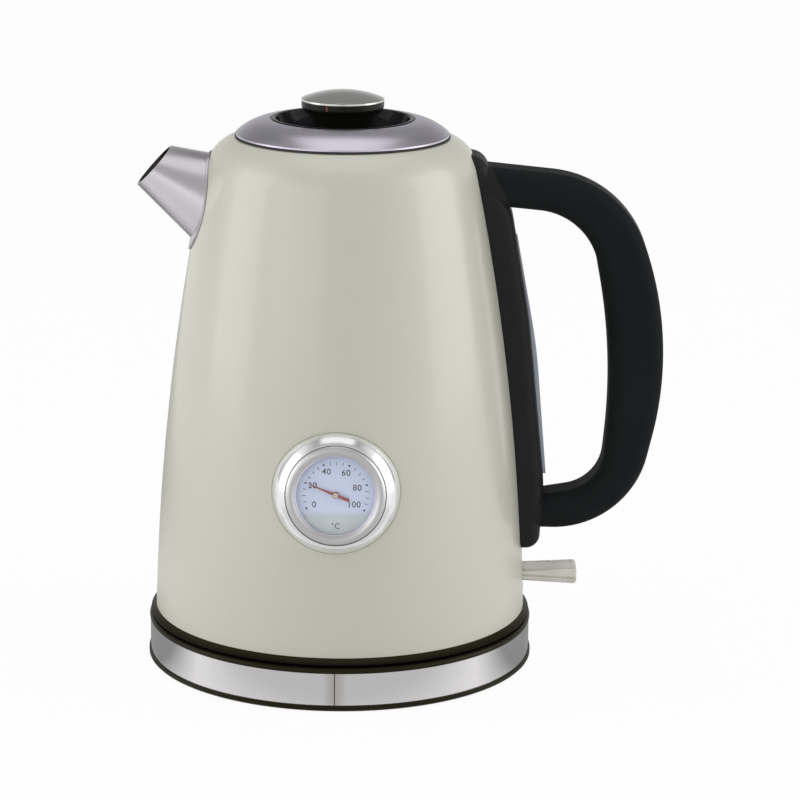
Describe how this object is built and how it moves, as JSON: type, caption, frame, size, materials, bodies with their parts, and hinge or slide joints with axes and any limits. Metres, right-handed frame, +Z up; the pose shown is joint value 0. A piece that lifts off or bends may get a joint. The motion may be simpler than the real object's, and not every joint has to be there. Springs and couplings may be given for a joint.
{
  "type": "electric kettle",
  "caption": "Electric kettle with a cream body, steel spout, black loop handle, lift-off lid and dial thermometer, on a round cordless power base.",
  "frame": {"origin": "on the kettle's axis at table level, under the middle of the power base", "axes": "+Z up, spout to -X, handle to +X, dial to -Y"},
  "size_m": [0.2216, 0.1657, 0.2443],
  "materials": {
    "black_plastic": "satin",
    "gloss_black": "gloss",
    "rubber": "matte",
    "brushed_steel": "brushed",
    "screw_steel": "plain",
    "cream_enamel": "satin gloss",
    "chrome": "polished",
    "brass": "plain",
    "aluminium": "plain",
    "dial_paper": "printed",
    "red_paint": "painted",
    "clear": "clear",
    "window_blue": "translucent"
  },
  "bodies": {
    "power_base": {"base_lower_housing": "black_plastic", "base_upper_housing": "black_plastic", "base_trim_band": "brushed_steel", "base_socket": "black_plastic", "socket_contacts": "brass", "base_feet": "rubber", "base_screws": "screw_steel", "cord_gland": "rubber"},
    "shutter": {"socket_shutter": "black_plastic"},
    "kettle": {"body_shell": "cream_enamel", "vessel_floor": "brushed_steel", "heat_plate": "aluminium", "heating_element": "brushed_steel", "element_terminals": "brushed_steel", "control_unit": "black_plastic", "control_bimetals": "brass", "steam_bimetal": "brass", "indicator_lamp": "clear", "steam_tube": "brushed_steel", "kettle_connector": "black_plastic", "connector_pins": "brass", "kettle_base_ring": "black_plastic", "bottom_cover": "black_plastic", "bottom_screws": "screw_steel", "spout": "brushed_steel", "spout_strainer": "brushed_steel", "handle_spine": "black_plastic", "handle_grip": "black_plastic", "handle_screws": "screw_steel", "water_window": "window_blue", "window_seal": "rubber", "dial_bezel": "chrome", "dial_case": "chrome", "dial_face": "dial_paper", "dial_glass": "clear", "dial_probe": "brushed_steel", "probe_seal": "rubber", "probe_nut": "brushed_steel"},
    "lid": {"lid_dome": "brushed_steel", "lid_dish": "gloss_black", "lid_knob": "gloss_black", "knob_cap": "brushed_steel", "lid_inner_cover": "brushed_steel", "lid_seal": "rubber", "lid_screw": "screw_steel"},
    "switch_lever": {"switch_lever": "clear"},
    "dial_pointer": {"dial_pointer": "red_paint", "pointer_shaft": "screw_steel"}
  },
  "joints": [
    {"name": "kettle_swivel", "type": "hinge", "parent": "power_base", "child": "shutter", "pos_m": [0, 0, 0.0127], "axis": [0, 0, 1], "continuous": true},
    {"name": "kettle_lift", "type": "slide", "parent": "shutter", "child": "kettle", "axis": [0, 0, 1], "range_m": [0, 0.09]},
    {"name": "lid_lift", "type": "slide", "parent": "kettle", "child": "lid", "axis": [0, 0, 1], "range_m": [0, 0.06]},
    {"name": "switch_press", "type": "hinge", "parent": "kettle", "child": "switch_lever", "pos_m": [0.0665, 0, 0.0367], "axis": [0, 1, 0], "range_deg": [0, 10]},
    {"name": "pointer_turn", "type": "hinge", "parent": "kettle", "child": "dial_pointer", "pos_m": [0, -0.07493, 0.0916], "axis": [0, 0.9959, -0.0908], "range_deg": [-46.5, 186], "stiffness_Nm_per_rad": 0.0002}
  ]
}
